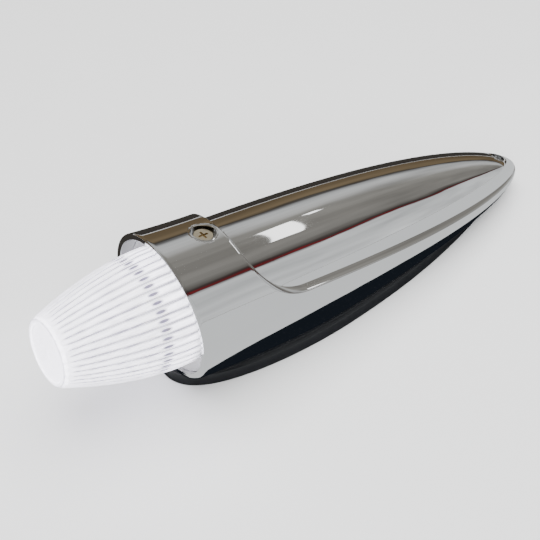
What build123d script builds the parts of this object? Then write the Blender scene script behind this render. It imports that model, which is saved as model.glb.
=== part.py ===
"""Torpedo marker lamp: a chromed die-cast bullet on a rubber pad, with a clear fluted LED lens.

Millimetres.  While modelling, x = 0 is the plane of the collar's mouth, +x runs to the tail,
y = 0 is the plane of symmetry and z = 0 is the underside of the rubber pad.  At export every
piece moves along x so that the finished lamp stands with the origin under its middle.
"""
from build123d import *
import os
from math import acos, cos, pi, radians, sin, sqrt, tan

# ---- casting, overall ----
body_length = 245.5         # mouth plane to the nose of the tail
mouth_radius = 38.0         # outside of the collar at its mouth
mouth_flare = 1.5           # the mouth stands this much wider than the skirt
flare_length = 40.0         # the collar narrows from mouth to skirt over this length
mouth_chamfer = 1.1         # corner taken off the outside of the mouth
step_depth = 3.8            # how far the skirt stands proud of the bullet above it
wall = 3.0                  # casting wall inside the bullet
axis_pitch = 7.1            # nose-up tilt of the lamp axis, degrees
taper_sharpness = 2.9       # how late the bullet starts to narrow
taper_bluntness = 0.6       # how round its nose is
foot_inset = 5.5            # the footprint's widest half is this much less than the skirt
foot_front_length = 95.0    # the footprint widens over this length
foot_front_bluntness = 0.33  # how square its front end is
foot_sharpness = 3.5        # how late the footprint narrows to the tail
foot_roundness = 1.3        # how thin it runs out there
foot_short = 2.5            # the footprint ends this far short of the nose
foot_least_share = 0.12     # least footprint, as a share of the width above it

# ---- edge of the raised skirt, seen from the side ----
collar_length = 34.5        # mouth to the collar's back edge, on top
sweep_radius = 34.0         # the edge sweeps from the collar down to the skirt
skirt_front_place = 57.0    # where the sweep ends
skirt_front_lift = 9.1      # height of the edge over the lamp axis there
skirt_tail_lift = 1.08      # and at the nose

# ---- rubber pad ----
pad_thickness = 5.0
pad_web = 2.5               # thin floor inside the pad's thick rim
pad_rim = 8.0               # width of that rim
pad_proud_top = 1.2         # pad beyond the casting's footprint at the joint
pad_proud_foot = 3.2        # and where it meets the roof
pad_short = 4.0             # the pad stops this far short of the casting's footprint
pad_boss_margin = 2.0       # solid rubber round the front boss
pad_hole_margin = 2.5       # the pad's front hole stands clear of the insert
pad_hollow_front = 8.0      # collar's back edge to the pad's hollow
pad_hollow_back = 26.0      # tail hole to the pad's hollow

# ---- holes, bosses and mountings ----
cavity_front = 6.0          # collar's back edge to the hollow of the bullet
cavity_back = 24.0          # tail hole to the hollow of the bullet
tail_hole_from_nose = 15.5
tail_hole_radius = 2.7      # clears a number 10 screw
tail_sleeve_wall = 0.9
tail_counterbore_margin = 0.7
tail_counterbore_depth = 9.0
front_boss_place = 64.0
front_boss_wall = 3.5
front_boss_height = 20.0
insert_wall = 1.5
insert_length = 12.0
stud_radius = 3.0           # M6
rib_thickness = 4.0
wire_exit_place = 104.0
wire_exit_radius = 3.2
grommet_wall = 2.3
grommet_lip = 0.8           # the neck is thinner above its flange
grommet_flange_width = 2.5
grommet_flange = 2.0
grommet_height = 12.0

# ---- lens ----
lens_reach = 60.0           # how far the lens stands out of the mouth, along the lamp axis
lens_tip_radius = 16.6
lens_wall = 3.0
lens_tip_edge = 1.5         # rounding of the tip's rim
lens_bulge = 1.75           # 1 is a straight cone, more is fuller near the mouth
collar_wall = 3.0
lens_recess = 5.2           # open ring between the collar's bore and the lens
seat_landing = 1.3          # lens spigot beyond the opening behind it
flange_front = -6.0         # places along the lamp axis, + is forward of the mouth
flange_thickness = 3.0
seal_thickness = 2.5
chamber_depth = 32.0        # lamp chamber behind the lens seat

# ---- retaining screw in the collar's top ----
screw_from_edge = 11.9      # collar's back edge to the screw
screw_radius = 2.0
screw_head_margin = 2.6
screw_head_height = 3.0
screw_slot_length = 5.2
screw_slot_width = 1.1
screw_slot_depth = 1.5
screw_below_flat = 9.0      # shank under the flat that the fork clamps against
screw_counterbore_margin = 1.6
screw_counterbore_depth = 6.0
washer_margin = 0.6
washer_thickness = 0.8
clamp_boss_half_width = 13.0
clamp_boss_front = 5.0      # screw to the boss's front face
clamp_boss_back = 9.0       # and to its back face
clamp_boss_bite = 0.3       # the boss's corners run into the chamber's wall
strap_thickness = 2.0
strap_width = 10.0
fork_thickness = 2.6
fork_width = 13.0
fork_overrun = 7.0          # fork behind the screw

# ---- light engine ----
back_thickness = 3.5
back_skirt_wall = 1.8
back_skirt_rise = 2.0       # back shell's skirt in front of the lens flange
board_margin = 4.8          # lens wall to the board
board_thickness = 1.6
board_front = 4.0           # place of the board's face along the lamp axis
led_size = 3.0
led_height = 0.8
led_dome_radius = 1.2
led_margin = 9.0            # board's edge to the ring of LEDs
led_count = 8
sink_thickness = 4.0
standoff_radius = 2.4
standoff_margin = 3.5       # board's edge to the ring of posts
standoff_count = 3
standoff_turn = 30          # degrees
board_screw_radius = 1.2
board_screw_length = 5.0
board_screw_head = 2.2
board_screw_head_height = 1.4
small_slot_width = 0.6
small_slot_depth = 0.5
resistor_size = (3.2, 1.6, 0.7)
resistor_count = 4
rectifier_size = (7.0, 5.0, 2.4)
reflector_depth = 5.0
reflector_wall = 1.0

# ---- wiring ----
pin_width = 4.0
pin_thickness = 0.8
pin_spacing = 8.0
pin_reach = 9.0             # blade behind the back shell
pin_root = 2.5              # blade held in the back shell
plug_gap = 2.0
plug_length = 13.0
plug_half_width = 8.0
plug_half_height = 4.0
lead_radius = 1.1
lead_bend = 5.0
lead_place_share = 0.6      # where the leads enter the terminal block
block_length = 16.0
block_half_width = 9.0
block_height = 12.0
block_lift = 4.0            # terminal block above the pad
clamp_radius = 1.8
clamp_height = 1.0
clamp_place_share = 0.85    # and where their clamp screws stand

# ---- fits ----
slip = 0.3                  # loose parts beside each other
running = 0.05              # screw shanks in their holes
over = 1.0                  # cutting tools run this far past a face

# ---- sizes that follow ----
pitch = radians(axis_pitch)
mouth_height = pad_thickness + mouth_radius
skirt_radius = mouth_radius - mouth_flare
shell_radius = skirt_radius - step_depth
cavity_inset = step_depth + wall
foot_half_width = skirt_radius - foot_inset
foot_length = body_length - foot_short
tail_hole_place = body_length - tail_hole_from_nose
tail_counterbore_radius = tail_hole_radius + tail_sleeve_wall + tail_counterbore_margin
insert_radius = stud_radius + insert_wall
front_boss_radius = insert_radius + front_boss_wall
pad_boss_radius = front_boss_radius + pad_boss_margin
grommet_neck_radius = wire_exit_radius + grommet_wall
grommet_flange_radius = grommet_neck_radius + grommet_flange_width

bore_radius = mouth_radius - collar_wall
chamber_radius = skirt_radius - cavity_inset
spigot_radius = chamber_radius + seat_landing
lens_mouth_radius = bore_radius - lens_recess
seat = flange_front - flange_thickness - seal_thickness
lens_tip_place = -lens_reach * cos(pitch) - lens_tip_radius * sin(pitch)
middle = (body_length + lens_tip_place) / 2

screw_place = screw_from_edge - collar_length
screw_head_radius = screw_radius + screw_head_margin
screw_counterbore_radius = screw_head_radius + screw_counterbore_margin
boss_flat = sqrt(chamber_radius**2 - clamp_boss_half_width**2) + clamp_boss_bite

back_skirt_radius = lens_mouth_radius - lens_wall - slip
board_radius = lens_mouth_radius - lens_wall - board_margin
led_ring_radius = board_radius - led_margin
standoff_ring_radius = board_radius - standoff_margin

lamp = Plane(
    origin=(0, 0, mouth_height),
    x_dir=(sin(pitch), 0, cos(pitch)),
    z_dir=(-cos(pitch), 0, sin(pitch)),
)


# ---- shape laws of the bullet ----
def axis_height(x):
    """Height of the lamp axis, which runs down to the tail."""
    return mouth_height - x * tan(pitch)


def taper(x):
    """Share of the full radius left at x; it closes in a round nose."""
    return (1 - (max(x, 0) / body_length) ** taper_sharpness) ** taper_bluntness


def skirt_half_width(x):
    """Half the width of the raised skirt and collar."""
    flare = max(1 - x / flare_length, 0) ** 2
    return skirt_radius * taper(x) + (mouth_radius - skirt_radius) * flare


def foot(x):
    """Half the width of the casting's footprint: a round front and a tapering tail."""
    front = max(1 - x / foot_front_length, 0)
    widening = (1 - front**2) ** foot_front_bluntness
    tail = max(1 - (x / foot_length) ** foot_sharpness, 0) ** foot_roundness
    return max(foot_half_width * widening * tail, foot_least_share * skirt_half_width(x))


def section(x, half_width, foot_width, base=pad_thickness):
    """Cross-section at x: a half circle above the axis, drawn in to a flat foot below it."""
    centre = axis_height(x)
    start = acos(foot_width / half_width)
    depth = (centre - base) / sin(start)
    side = []
    for step in range(9):
        angle = start * (1 - step / 8)
        side.append((half_width * cos(angle), centre - depth * sin(angle)))
    for step in range(1, 11):
        angle = pi / 2 * step / 10
        side.append((half_width * cos(angle), centre + half_width * sin(angle)))
    outline = side + [(-y, z) for y, z in reversed(side[:-1])]
    with BuildSketch(Plane(origin=(x, 0, 0), x_dir=(0, 1, 0), z_dir=(1, 0, 0))) as drawn:
        with BuildLine():
            Spline(*outline)
            Line(outline[-1], outline[0])
        make_face()
    return drawn.sketch


def stations(first, last, count):
    """Places along x, closer together towards both ends."""
    return [first + (last - first) * (1 - cos(pi * n / (count - 1))) / 2 for n in range(count)]


def skirt_form():
    """Solid bullet at the size of the collar and skirt."""
    places = stations(0, body_length - slip, 17)
    return loft([section(x, skirt_half_width(x), foot(x)) for x in places])


def shell_form():
    """The same bullet drawn in by the step, from inside the collar to the nose."""
    share = shell_radius / skirt_radius
    places = stations(collar_length / 2, body_length - slip, 17)
    return loft([section(x, shell_radius * taper(x), share * foot(x)) for x in places])


def cavity_form():
    """Hollow behind the lamp chamber, open underneath."""
    places = stations(collar_length + cavity_front, tail_hole_place - cavity_back, 9)
    below = pad_thickness - over
    sections = []
    for x in places:
        sections.append(section(x, skirt_half_width(x) - cavity_inset, foot(x) - cavity_inset, below))
    return loft(sections)


def ledge_line(x):
    """Height of the skirt's edge at x, behind the sweep."""
    front = axis_height(skirt_front_place) + skirt_front_lift
    tail = axis_height(body_length) + skirt_tail_lift
    run = (x - skirt_front_place) / (body_length - skirt_front_place)
    return front + (tail - front) * run


def above_skirt():
    """Side-view region where the skirt is absent and the bullet shows."""
    far = body_length + mouth_radius
    top = mouth_height + 2 * mouth_radius
    with BuildSketch(Plane.XZ) as drawn:
        with BuildLine():
            edge = FilletPolyline(
                (collar_length, top),
                (collar_length, ledge_line(collar_length)),
                (far, ledge_line(far)),
                radius=sweep_radius,
            )
            Polyline(edge @ 1, (far, top), edge @ 0)
        make_face()
    return extrude(drawn.sketch, 2 * mouth_radius, both=True)


# ---- helpers for round pieces on the lamp axis ----
def disc(radius, back, front):
    """Disc on the lamp axis between two places along it."""
    round_bar = Cylinder(radius, front - back, align=(Align.CENTER, Align.CENTER, Align.MIN))
    return lamp * Pos(0, 0, back) * round_bar


def ring(outer, inner, back, front):
    """Flat ring on the lamp axis."""
    return disc(outer, back, front) - disc(inner, back - over, front + over)


def block(up, wide, back, front):
    """Block in lamp coordinates: up = (low, high) off the axis, wide = half its width."""
    low, high = up
    return lamp * Pos(low, 0, back) * Box(
        high - low, 2 * wide, front - back, align=(Align.MIN, Align.CENTER, Align.MIN)
    )


def upright(radius, place, low, high):
    """Pin standing square to the lamp axis at a place along it."""
    pin = Cylinder(radius, high - low, align=(Align.CENTER, Align.CENTER, Align.MIN))
    return lamp * Pos(low, 0, place) * Rot(0, 90, 0) * pin


def post(radius, x, low, high, y=0):
    """Vertical round post."""
    return Pos(x, y, low) * Cylinder(radius, high - low, align=(Align.CENTER, Align.CENTER, Align.MIN))


# ---- casting ----
def tail_top():
    """Height of the bullet's top over the tail hole."""
    return axis_height(tail_hole_place) + shell_radius * taper(tail_hole_place)


def front_rib():
    """Cross rib with the front mounting boss."""
    rib = Pos(front_boss_place, 0, pad_thickness) * Box(
        rib_thickness,
        2 * foot(front_boss_place),
        front_boss_height,
        align=(Align.CENTER, Align.CENTER, Align.MIN),
    )
    boss = post(front_boss_radius, front_boss_place, pad_thickness, pad_thickness + front_boss_height)
    return rib + boss


def mouth_edge():
    """What the chamfer takes off the outside of the mouth."""
    slab = Box(mouth_chamfer, 3 * mouth_radius, 3 * mouth_radius, align=(Align.MIN, Align.CENTER, Align.CENTER))
    front = section(0, skirt_half_width(0) - mouth_chamfer, foot(0), pad_thickness + mouth_chamfer)
    back = section(mouth_chamfer, skirt_half_width(mouth_chamfer), foot(mouth_chamfer))
    return Pos(0, 0, mouth_height) * slab - loft([front, back], ruled=True)


def clamp_boss():
    """Flat-bottomed boss under the collar's top, for the retaining screw."""
    back = screw_place - clamp_boss_back
    front = screw_place + clamp_boss_front
    return block((boss_flat, skirt_radius - wall), clamp_boss_half_width, back, front)


def housing():
    """Chromed casting: collar and skirt standing proud of the bullet, hollow inside."""
    bullet = shell_form()
    body = skirt_form() - (above_skirt() - bullet) - mouth_edge()
    body -= cavity_form()
    body -= disc(bore_radius, seat, mouth_radius)
    body -= disc(chamber_radius, seat - chamber_depth, seat + over)
    body += clamp_boss()
    body += front_rib()
    body -= post(insert_radius, front_boss_place, 0, pad_thickness + insert_length)
    top = tail_top()
    body -= post(tail_hole_radius + tail_sleeve_wall, tail_hole_place, 0, top)
    body -= post(tail_counterbore_radius, tail_hole_place, top - tail_counterbore_depth, mouth_height)
    floor = screw_floor()
    body -= upright(screw_counterbore_radius, screw_place, floor, 2 * mouth_radius)
    body -= upright(screw_radius + slip, screw_place, boss_flat - over, floor + over)
    under = Box(
        3 * body_length, 3 * mouth_radius, 3 * pad_thickness, align=(Align.CENTER, Align.CENTER, Align.MAX)
    )
    return body - Pos(0, 0, pad_thickness) * under


# ---- rubber pad and what goes through it ----
def pad_side(proud):
    """One side of the pad: the casting's footprint, a little shorter, moved outwards by proud."""
    end = foot_length - pad_short
    share = foot_length / end
    points = [(-proud, 0)]
    for x in stations(0, end, 19)[1:-1]:
        slope = foot(share * x + 0.5) - foot(share * x - 0.5)
        reach = sqrt(1 + slope**2)
        points.append((x - proud * slope / reach, foot(share * x) + proud / reach))
    return points + [(end + proud, 0)]


def pad_outline(proud, height):
    """Closed outline of the pad at one height, round at both ends."""
    side = pad_side(proud)
    with BuildSketch(Plane.XY.offset(height)) as drawn:
        with BuildLine():
            Spline(*side, *[(x, -y) for x, y in reversed(side[1:-1])], periodic=True)
        make_face()
    return drawn.sketch


def base_gasket():
    """Rubber pad: thick rim, thin floor, holes for the mountings and the wires."""
    pad = loft([pad_outline(pad_proud_foot, 0), pad_outline(pad_proud_top, pad_thickness)], ruled=True)
    places = stations(collar_length + pad_hollow_front, tail_hole_place - pad_hollow_back, 7)
    side = [(x, foot(x) - pad_rim) for x in places]
    with BuildSketch(Plane.XY.offset(pad_web)) as hollow:
        with BuildLine():
            Spline(*side)
            Line(side[-1], (side[-1][0], -side[-1][1]))
            Spline(*[(x, -y) for x, y in reversed(side)])
            Line((side[0][0], -side[0][1]), side[0])
        make_face()
    pad -= extrude(hollow.sketch, pad_thickness)
    pad += post(pad_boss_radius, front_boss_place, 0, pad_thickness)
    pad -= post(insert_radius + pad_hole_margin, front_boss_place, -over, pad_thickness + over)
    pad -= post(tail_hole_radius + slip, tail_hole_place, -over, pad_thickness + over)
    return pad - post(grommet_neck_radius, wire_exit_place, -over, pad_web + over)


def wire_grommet():
    """Rubber grommet in the pad's floor, where the supply wires enter."""
    body = post(grommet_neck_radius, wire_exit_place, 0, pad_web)
    body += post(grommet_flange_radius, wire_exit_place, pad_web, pad_web + grommet_flange)
    body += post(grommet_neck_radius - grommet_lip, wire_exit_place, pad_web, grommet_height)
    return body - post(wire_exit_radius, wire_exit_place, -over, grommet_height + over)


def front_insert():
    """Threaded steel insert in the front boss."""
    top = pad_thickness + insert_length
    body = post(insert_radius, front_boss_place, pad_thickness, top)
    return body - post(stud_radius, front_boss_place, 0, top + over)


def tail_sleeve():
    """Steel sleeve that the tail screw passes through."""
    floor = tail_top() - tail_counterbore_depth
    body = post(tail_hole_radius + tail_sleeve_wall, tail_hole_place, pad_thickness, floor)
    return body - post(tail_hole_radius, tail_hole_place, 0, floor + over)


# ---- lens and its seal ----
def lens_radius(place):
    """Outside radius of the lens at a place along the lamp axis."""
    share = max(place, 0) / lens_reach
    return lens_mouth_radius - (lens_mouth_radius - lens_tip_radius) * share**lens_bulge


def turned(outline):
    """Solid turned about the lamp axis from (radius, place) points with a curved side."""
    with BuildSketch(Plane.XZ) as drawn:
        with BuildLine():
            Spline(*outline["curve"])
            Polyline(outline["curve"][-1], *outline["back"], outline["curve"][0])
        make_face()
    return lamp * revolve(drawn.sketch, Axis.Z)


def lens():
    """Clear lens: tapering dome with a flat tip, a seating flange and a spigot."""
    last = lens_reach - lens_tip_edge
    places = [last * n / 8 for n in range(9)]
    outside = turned({
        "curve": [(lens_radius(place), place) for place in places]
        + [(lens_radius(lens_reach) - 0.3 * lens_tip_edge, lens_reach - 0.3 * lens_tip_edge)]
        + [(lens_radius(lens_reach) - lens_tip_edge, lens_reach)],
        "back": [(0, lens_reach), (0, flange_front), (lens_mouth_radius, flange_front)],
    })
    outside += disc(bore_radius - slip, flange_front - flange_thickness, flange_front)
    outside += disc(spigot_radius - slip, seat, flange_front - flange_thickness)
    last = lens_reach - lens_wall
    places = [last * n / 8 for n in range(9)]
    inside = turned({
        "curve": [(lens_radius(place) - lens_wall, place) for place in places],
        "back": [(0, last), (0, seat - over), (lens_mouth_radius - lens_wall, seat - over)],
    })
    return outside - inside


def lens_seal():
    """Flat rubber ring between the lens flange and the casting's seat."""
    return ring(bore_radius - slip, spigot_radius, seat, flange_front - flange_thickness)


# ---- sealed light engine behind the lens ----
def back_shell():
    """Black moulded back of the lamp, with the fork that the retaining screw clamps."""
    body = disc(chamber_radius - 1.5 * slip, seat - back_thickness, seat)
    body += ring(back_skirt_radius, back_skirt_radius - back_skirt_wall, seat, flange_front + back_skirt_rise)
    top = boss_flat - slip
    root = seat - back_thickness
    rear = screw_place - fork_overrun
    body += block((top - fork_thickness, top), fork_width / 2, rear, root)
    gap = screw_radius + slip
    body -= block((top - fork_thickness - over, top + over), gap, rear - over, screw_place)
    body -= upright(gap, screw_place, top - fork_thickness - over, top + over)
    for side in (1, -1):
        body -= contact_blade(side)
    return body


def heat_sink():
    """Aluminium disc that carries the board on three posts."""
    return disc(back_skirt_radius - back_skirt_wall - slip, seat, seat + sink_thickness)


def around(count, radius, turn=0):
    """Evenly spaced places around the lamp axis."""
    return [Rot(0, 0, turn + 360 * n / count) * Pos(radius, 0, 0) for n in range(count)]


def standoff_spots():
    """Places of the posts between the heat sink and the board."""
    return around(standoff_count, standoff_ring_radius, standoff_turn)


def group(shapes):
    """Separate solids that share one node."""
    return Compound([solid for shape in shapes for solid in shape.solids()])


def standing(radius, back, front):
    """Small round piece in lamp-local coordinates."""
    return Pos(0, 0, back) * Cylinder(radius, front - back, align=(Align.CENTER, Align.CENTER, Align.MIN))


def board_standoffs():
    """Three threaded posts between the heat sink and the board."""
    back = seat + sink_thickness
    front = board_front - board_thickness
    thread = standing(board_screw_radius + running, back + over, front + over)
    standoff = standing(standoff_radius, back, front) - thread
    return group(lamp * spot * standoff for spot in standoff_spots())


def board_screws():
    """Screws that hold the board on its posts."""
    shank = standing(board_screw_radius, board_front - board_screw_length, board_front)
    top = board_front + board_screw_head_height
    head = standing(board_screw_head, board_front, top)
    slot = Pos(0, 0, top) * Box(3 * board_screw_head, small_slot_width, 2 * small_slot_depth)
    screw = shank + head - slot
    return group(lamp * spot * screw for spot in standoff_spots())


def led_board():
    """Round circuit board that faces the lens."""
    board = standing(board_radius, board_front - board_thickness, board_front)
    hole = standing(board_screw_radius + running, board_front - board_screw_length, board_front + over)
    for spot in standoff_spots():
        board -= spot * hole
    return lamp * board


def leds():
    """White LEDs: a ring of them and one in the middle."""
    base = Pos(0, 0, board_front) * Box(
        led_size, led_size, led_height, align=(Align.CENTER, Align.CENTER, Align.MIN)
    )
    upper = Box(led_size, led_size, led_size, align=(Align.CENTER, Align.CENTER, Align.MIN))
    led = base + Pos(0, 0, board_front + led_height) * (Sphere(led_dome_radius) & upper)
    spots = [Pos(0, 0, 0)] + around(led_count, led_ring_radius)
    return group(lamp * spot * led for spot in spots)


def resistors():
    """Chip resistors on the back of the board."""
    length, width, height = resistor_size
    back = board_front - board_thickness - height
    chip = Pos(0, 0, back) * Box(length, width, height, align=(Align.CENTER, Align.CENTER, Align.MIN))
    return group(lamp * spot * chip for spot in around(resistor_count, board_radius / 2, 180 / resistor_count))


def rectifier():
    """Rectifier block on the back of the board."""
    length, width, height = rectifier_size
    back = board_front - board_thickness - height
    return lamp * Pos(0, 0, back) * Box(length, width, height, align=(Align.CENTER, Align.CENTER, Align.MIN))


def reflector_ring():
    """White cone around the board that throws the light forward."""
    low = board_radius - reflector_wall
    high = lens_radius(board_front + reflector_depth) - lens_wall - slip
    outside = lamp * Pos(0, 0, board_front) * Cone(
        low + reflector_wall, high, reflector_depth, align=(Align.CENTER, Align.CENTER, Align.MIN)
    )
    inside = lamp * Pos(0, 0, board_front) * Cone(
        low, high - reflector_wall, reflector_depth, align=(Align.CENTER, Align.CENTER, Align.MIN)
    )
    return outside - inside


def contact_blade(side):
    """One contact blade standing out of the back shell."""
    back = seat - back_thickness - pin_reach
    return lamp * Pos(0, side * pin_spacing / 2, back) * Box(
        pin_width, pin_thickness, pin_reach + pin_root, align=(Align.CENTER, Align.CENTER, Align.MIN)
    )


def contact_pins():
    """The two contact blades."""
    return group(contact_blade(side) for side in (1, -1))


# ---- retaining screw ----
def screw_floor():
    """Floor of the screw's counterbore, measured off the lamp axis."""
    return skirt_half_width(-screw_place) - screw_counterbore_depth


def retaining_screw():
    """Screw in the collar's top that clamps the lamp's fork."""
    under_head = screw_floor() + washer_thickness
    body = upright(screw_radius - running, screw_place, boss_flat - screw_below_flat, under_head)
    body += upright(screw_head_radius, screw_place, under_head, under_head + screw_head_height)
    deep = under_head + screw_head_height
    for turn in (0, 90):
        slot = Rot(0, 0, turn) * Box(screw_slot_length, screw_slot_width, 2 * screw_slot_depth)
        body -= lamp * Pos(deep, 0, screw_place) * Rot(0, 90, 0) * slot
    return body


def retaining_washer():
    """Spring washer under the screw's head."""
    floor = screw_floor()
    outer = upright(screw_head_radius + washer_margin, screw_place, floor, floor + washer_thickness)
    return outer - upright(screw_radius + slip, screw_place, floor - over, floor + washer_thickness + over)


def clamp_strap():
    """Folded steel strap with the screw's thread; the fork slides between its legs."""
    top = boss_flat - fork_thickness - 2 * slip
    half = fork_width / 2 + slip + strap_thickness
    back = screw_place - strap_width / 2
    front = screw_place + strap_width / 2
    body = block((top - strap_thickness, boss_flat), half, back, front)
    body -= block((top, boss_flat + over), half - strap_thickness, back - over, front + over)
    return body - upright(screw_radius, screw_place, top - strap_thickness - over, top + over)


# ---- wiring inside the casting ----
def plug_rear():
    """Place of the plug's back face along the lamp axis."""
    return seat - back_thickness - plug_gap - plug_length


def lamp_plug():
    """Socket that the lamp's contact blades push into."""
    body = block((-plug_half_height, plug_half_height), plug_half_width, plug_rear(), plug_rear() + plug_length)
    for side in (1, -1):
        room = Box(
            pin_width + 2 * slip,
            pin_thickness + 2 * slip,
            pin_reach + plug_gap,
            align=(Align.CENTER, Align.CENTER, Align.MIN),
        )
        body -= lamp * Pos(0, side * pin_spacing / 2, seat - back_thickness - pin_reach - slip) * room
    return body


def lead(side):
    """Insulated lead from the plug over the rib and down into the terminal block."""
    y = side * pin_spacing / 2
    start = (-plug_rear() * cos(pitch), y, mouth_height + plug_rear() * sin(pitch))
    far = front_boss_place + rib_thickness / 2 + block_length * lead_place_share
    route = FilletPolyline(
        start,
        (far, y, start[2] - (far - start[0]) * tan(pitch)),
        (far, y, pad_thickness + block_lift + block_height),
        radius=lead_bend,
    )
    return sweep(Plane(origin=route @ 0, z_dir=route % 0) * Circle(lead_radius), path=route)


def terminal_block():
    """Moulded terminal block screwed to the rib."""
    front = front_boss_place + rib_thickness / 2
    centre = (front, 0, pad_thickness + block_lift)
    body = Pos(*centre) * Box(
        block_length, 2 * block_half_width, block_height, align=(Align.MIN, Align.CENTER, Align.MIN)
    )
    return body - post(front_boss_radius + slip, front_boss_place, 0, mouth_height)


def terminal_screws():
    """Clamp screws on the terminal block."""
    top = pad_thickness + block_lift + block_height
    x = front_boss_place + rib_thickness / 2 + block_length * clamp_place_share
    screws = []
    for side in (1, -1):
        head = post(clamp_radius, x, top, top + clamp_height, side * pin_spacing / 2)
        slot_size = (3 * clamp_radius, small_slot_width, 2 * small_slot_depth)
        slot = Pos(x, side * pin_spacing / 2, top + clamp_height) * Box(*slot_size)
        screws.append(head - slot)
    return group(screws)


PIECES = {
    "housing": housing,
    "base_gasket": base_gasket,
    "wire_grommet": wire_grommet,
    "front_insert": front_insert,
    "tail_sleeve": tail_sleeve,
    "retaining_screw": retaining_screw,
    "retaining_washer": retaining_washer,
    "clamp_strap": clamp_strap,
    "lens": lens,
    "lens_seal": lens_seal,
    "back_shell": back_shell,
    "heat_sink": heat_sink,
    "board_standoffs": board_standoffs,
    "board_screws": board_screws,
    "led_board": led_board,
    "leds": leds,
    "resistors": resistors,
    "rectifier": rectifier,
    "reflector_ring": reflector_ring,
    "contact_pins": contact_pins,
    "lamp_plug": lamp_plug,
    "lead_live": lambda: lead(1),
    "lead_ground": lambda: lead(-1),
    "terminal_block": terminal_block,
    "terminal_screws": terminal_screws,
}


def finished(piece):
    """The piece's solids, moved to the finished lamp's own frame."""
    solids = [Pos(-middle, 0, 0) * solid for solid in piece.solids()]
    return solids[0] if len(solids) == 1 else Compound(solids)


if __name__ == "__main__":
    os.makedirs("parts", exist_ok=True)
    for node, make in PIECES.items():
        export_step(finished(make()), f"parts/{node}.step")
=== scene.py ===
# %% [markdown]
# # A chromed torpedo marker lamp
# The real lamp is a die-cast bullet on a rubber pad. The casting is polished and chromed, and a
# clear fluted lens stands out of its collar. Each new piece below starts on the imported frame,
# so nothing has to be fitted: its sizes are the design's own sizes, in metres.

# %% Load the frame
from math import acos, asin, atan2, cos, hypot, pi, radians, sin, sqrt, tan

import bmesh
import bpy
from mathutils import Matrix, Vector


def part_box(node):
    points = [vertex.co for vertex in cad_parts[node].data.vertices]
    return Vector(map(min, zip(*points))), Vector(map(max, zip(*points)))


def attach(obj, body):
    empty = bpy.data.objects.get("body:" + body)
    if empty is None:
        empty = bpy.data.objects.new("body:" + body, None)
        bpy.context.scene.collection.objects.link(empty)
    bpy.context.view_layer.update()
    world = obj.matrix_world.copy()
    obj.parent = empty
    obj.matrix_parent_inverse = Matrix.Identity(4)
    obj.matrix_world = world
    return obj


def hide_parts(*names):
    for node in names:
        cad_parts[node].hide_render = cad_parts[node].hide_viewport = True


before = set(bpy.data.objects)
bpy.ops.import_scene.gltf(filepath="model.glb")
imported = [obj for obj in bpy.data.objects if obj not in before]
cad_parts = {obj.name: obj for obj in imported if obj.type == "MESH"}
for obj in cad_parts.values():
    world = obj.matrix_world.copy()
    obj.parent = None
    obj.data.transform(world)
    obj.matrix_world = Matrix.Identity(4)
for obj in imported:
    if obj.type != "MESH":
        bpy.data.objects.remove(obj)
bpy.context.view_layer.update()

mm = 0.001

# %% [markdown]
# ## The camera
# The lamp is seen from its lens end, from above and to one side. A camera about half a metre
# away gives the strong taper towards the tail. It looks at a point a little in front of the
# lamp's middle.

# %% Make the camera
view_azimuth = radians(-37.25)
view_elevation = radians(43.55)
view_distance = 555.4 * mm
view_target = Vector((-25.6, 1.0, 28.5)) * mm
view_lens = 72.7

camera_data = bpy.data.cameras.new("camera")
camera_data.lens = view_lens
camera = bpy.data.objects.new("camera", camera_data)
bpy.context.scene.collection.objects.link(camera)
bpy.context.scene.camera = camera
backwards = Vector((
    sin(view_azimuth) * cos(view_elevation),
    -cos(view_azimuth) * cos(view_elevation),
    sin(view_elevation),
))
camera.location = view_target + backwards * view_distance
camera.rotation_euler = (-backwards).to_track_quat("-Z", "Y").to_euler()
print("camera at", [round(v, 3) for v in camera.location], "m")

# %% [markdown]
# ## The shape laws
# The casting was drawn as a bullet about a tilted axis. The same few sizes that drive the solid
# model drive the mesh, so the chrome follows the casting everywhere.

# %% Sizes of the casting
mouth_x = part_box("housing")[0].x
pad_thickness = 5.0 * mm
mouth_radius = 38.0 * mm
skirt_radius = 36.5 * mm
shell_radius = 32.7 * mm
flare_length = 40.0 * mm
body_length = 245.5 * mm
axis_pitch = radians(7.1)
taper_sharpness = 2.9
taper_bluntness = 0.6
foot_half_width = 31.0 * mm
foot_front_length = 95.0 * mm
foot_front_bluntness = 0.33
foot_length = 243.0 * mm
foot_sharpness = 3.5
foot_roundness = 1.3
foot_least_share = 0.12
collar_length = 34.5 * mm
sweep_radius = 34.0 * mm
skirt_front_height = 45.0 * mm
skirt_front_place = 57.0 * mm
skirt_tail_height = 13.5 * mm
mouth_height = pad_thickness + mouth_radius


def axis_height(x):
    """Height of the lamp axis at x, measured from the mouth."""
    return mouth_height - x * tan(axis_pitch)


def taper(x):
    """Share of the full radius that is left at x."""
    share = min(max(x / body_length, 0), 1)
    return (1 - share**taper_sharpness) ** taper_bluntness


def skirt_half_width(x):
    """Half the width of the collar and the raised skirt."""
    flare = max(1 - x / flare_length, 0) ** 2
    return skirt_radius * taper(x) + (mouth_radius - skirt_radius) * flare


def foot(x):
    """Half the width of the casting where it meets the pad."""
    front = min(max(1 - x / foot_front_length, 0), 1)
    widening = (1 - front**2) ** foot_front_bluntness
    tail = max(1 - (max(x, 0) / foot_length) ** foot_sharpness, 0) ** foot_roundness
    return max(foot_half_width * widening * tail, foot_least_share * skirt_half_width(x))


print("half width at mouth, middle, tail:",
      [round(skirt_half_width(x * mm) / mm, 1) for x in (0, 120, 235)], "mm")

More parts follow.
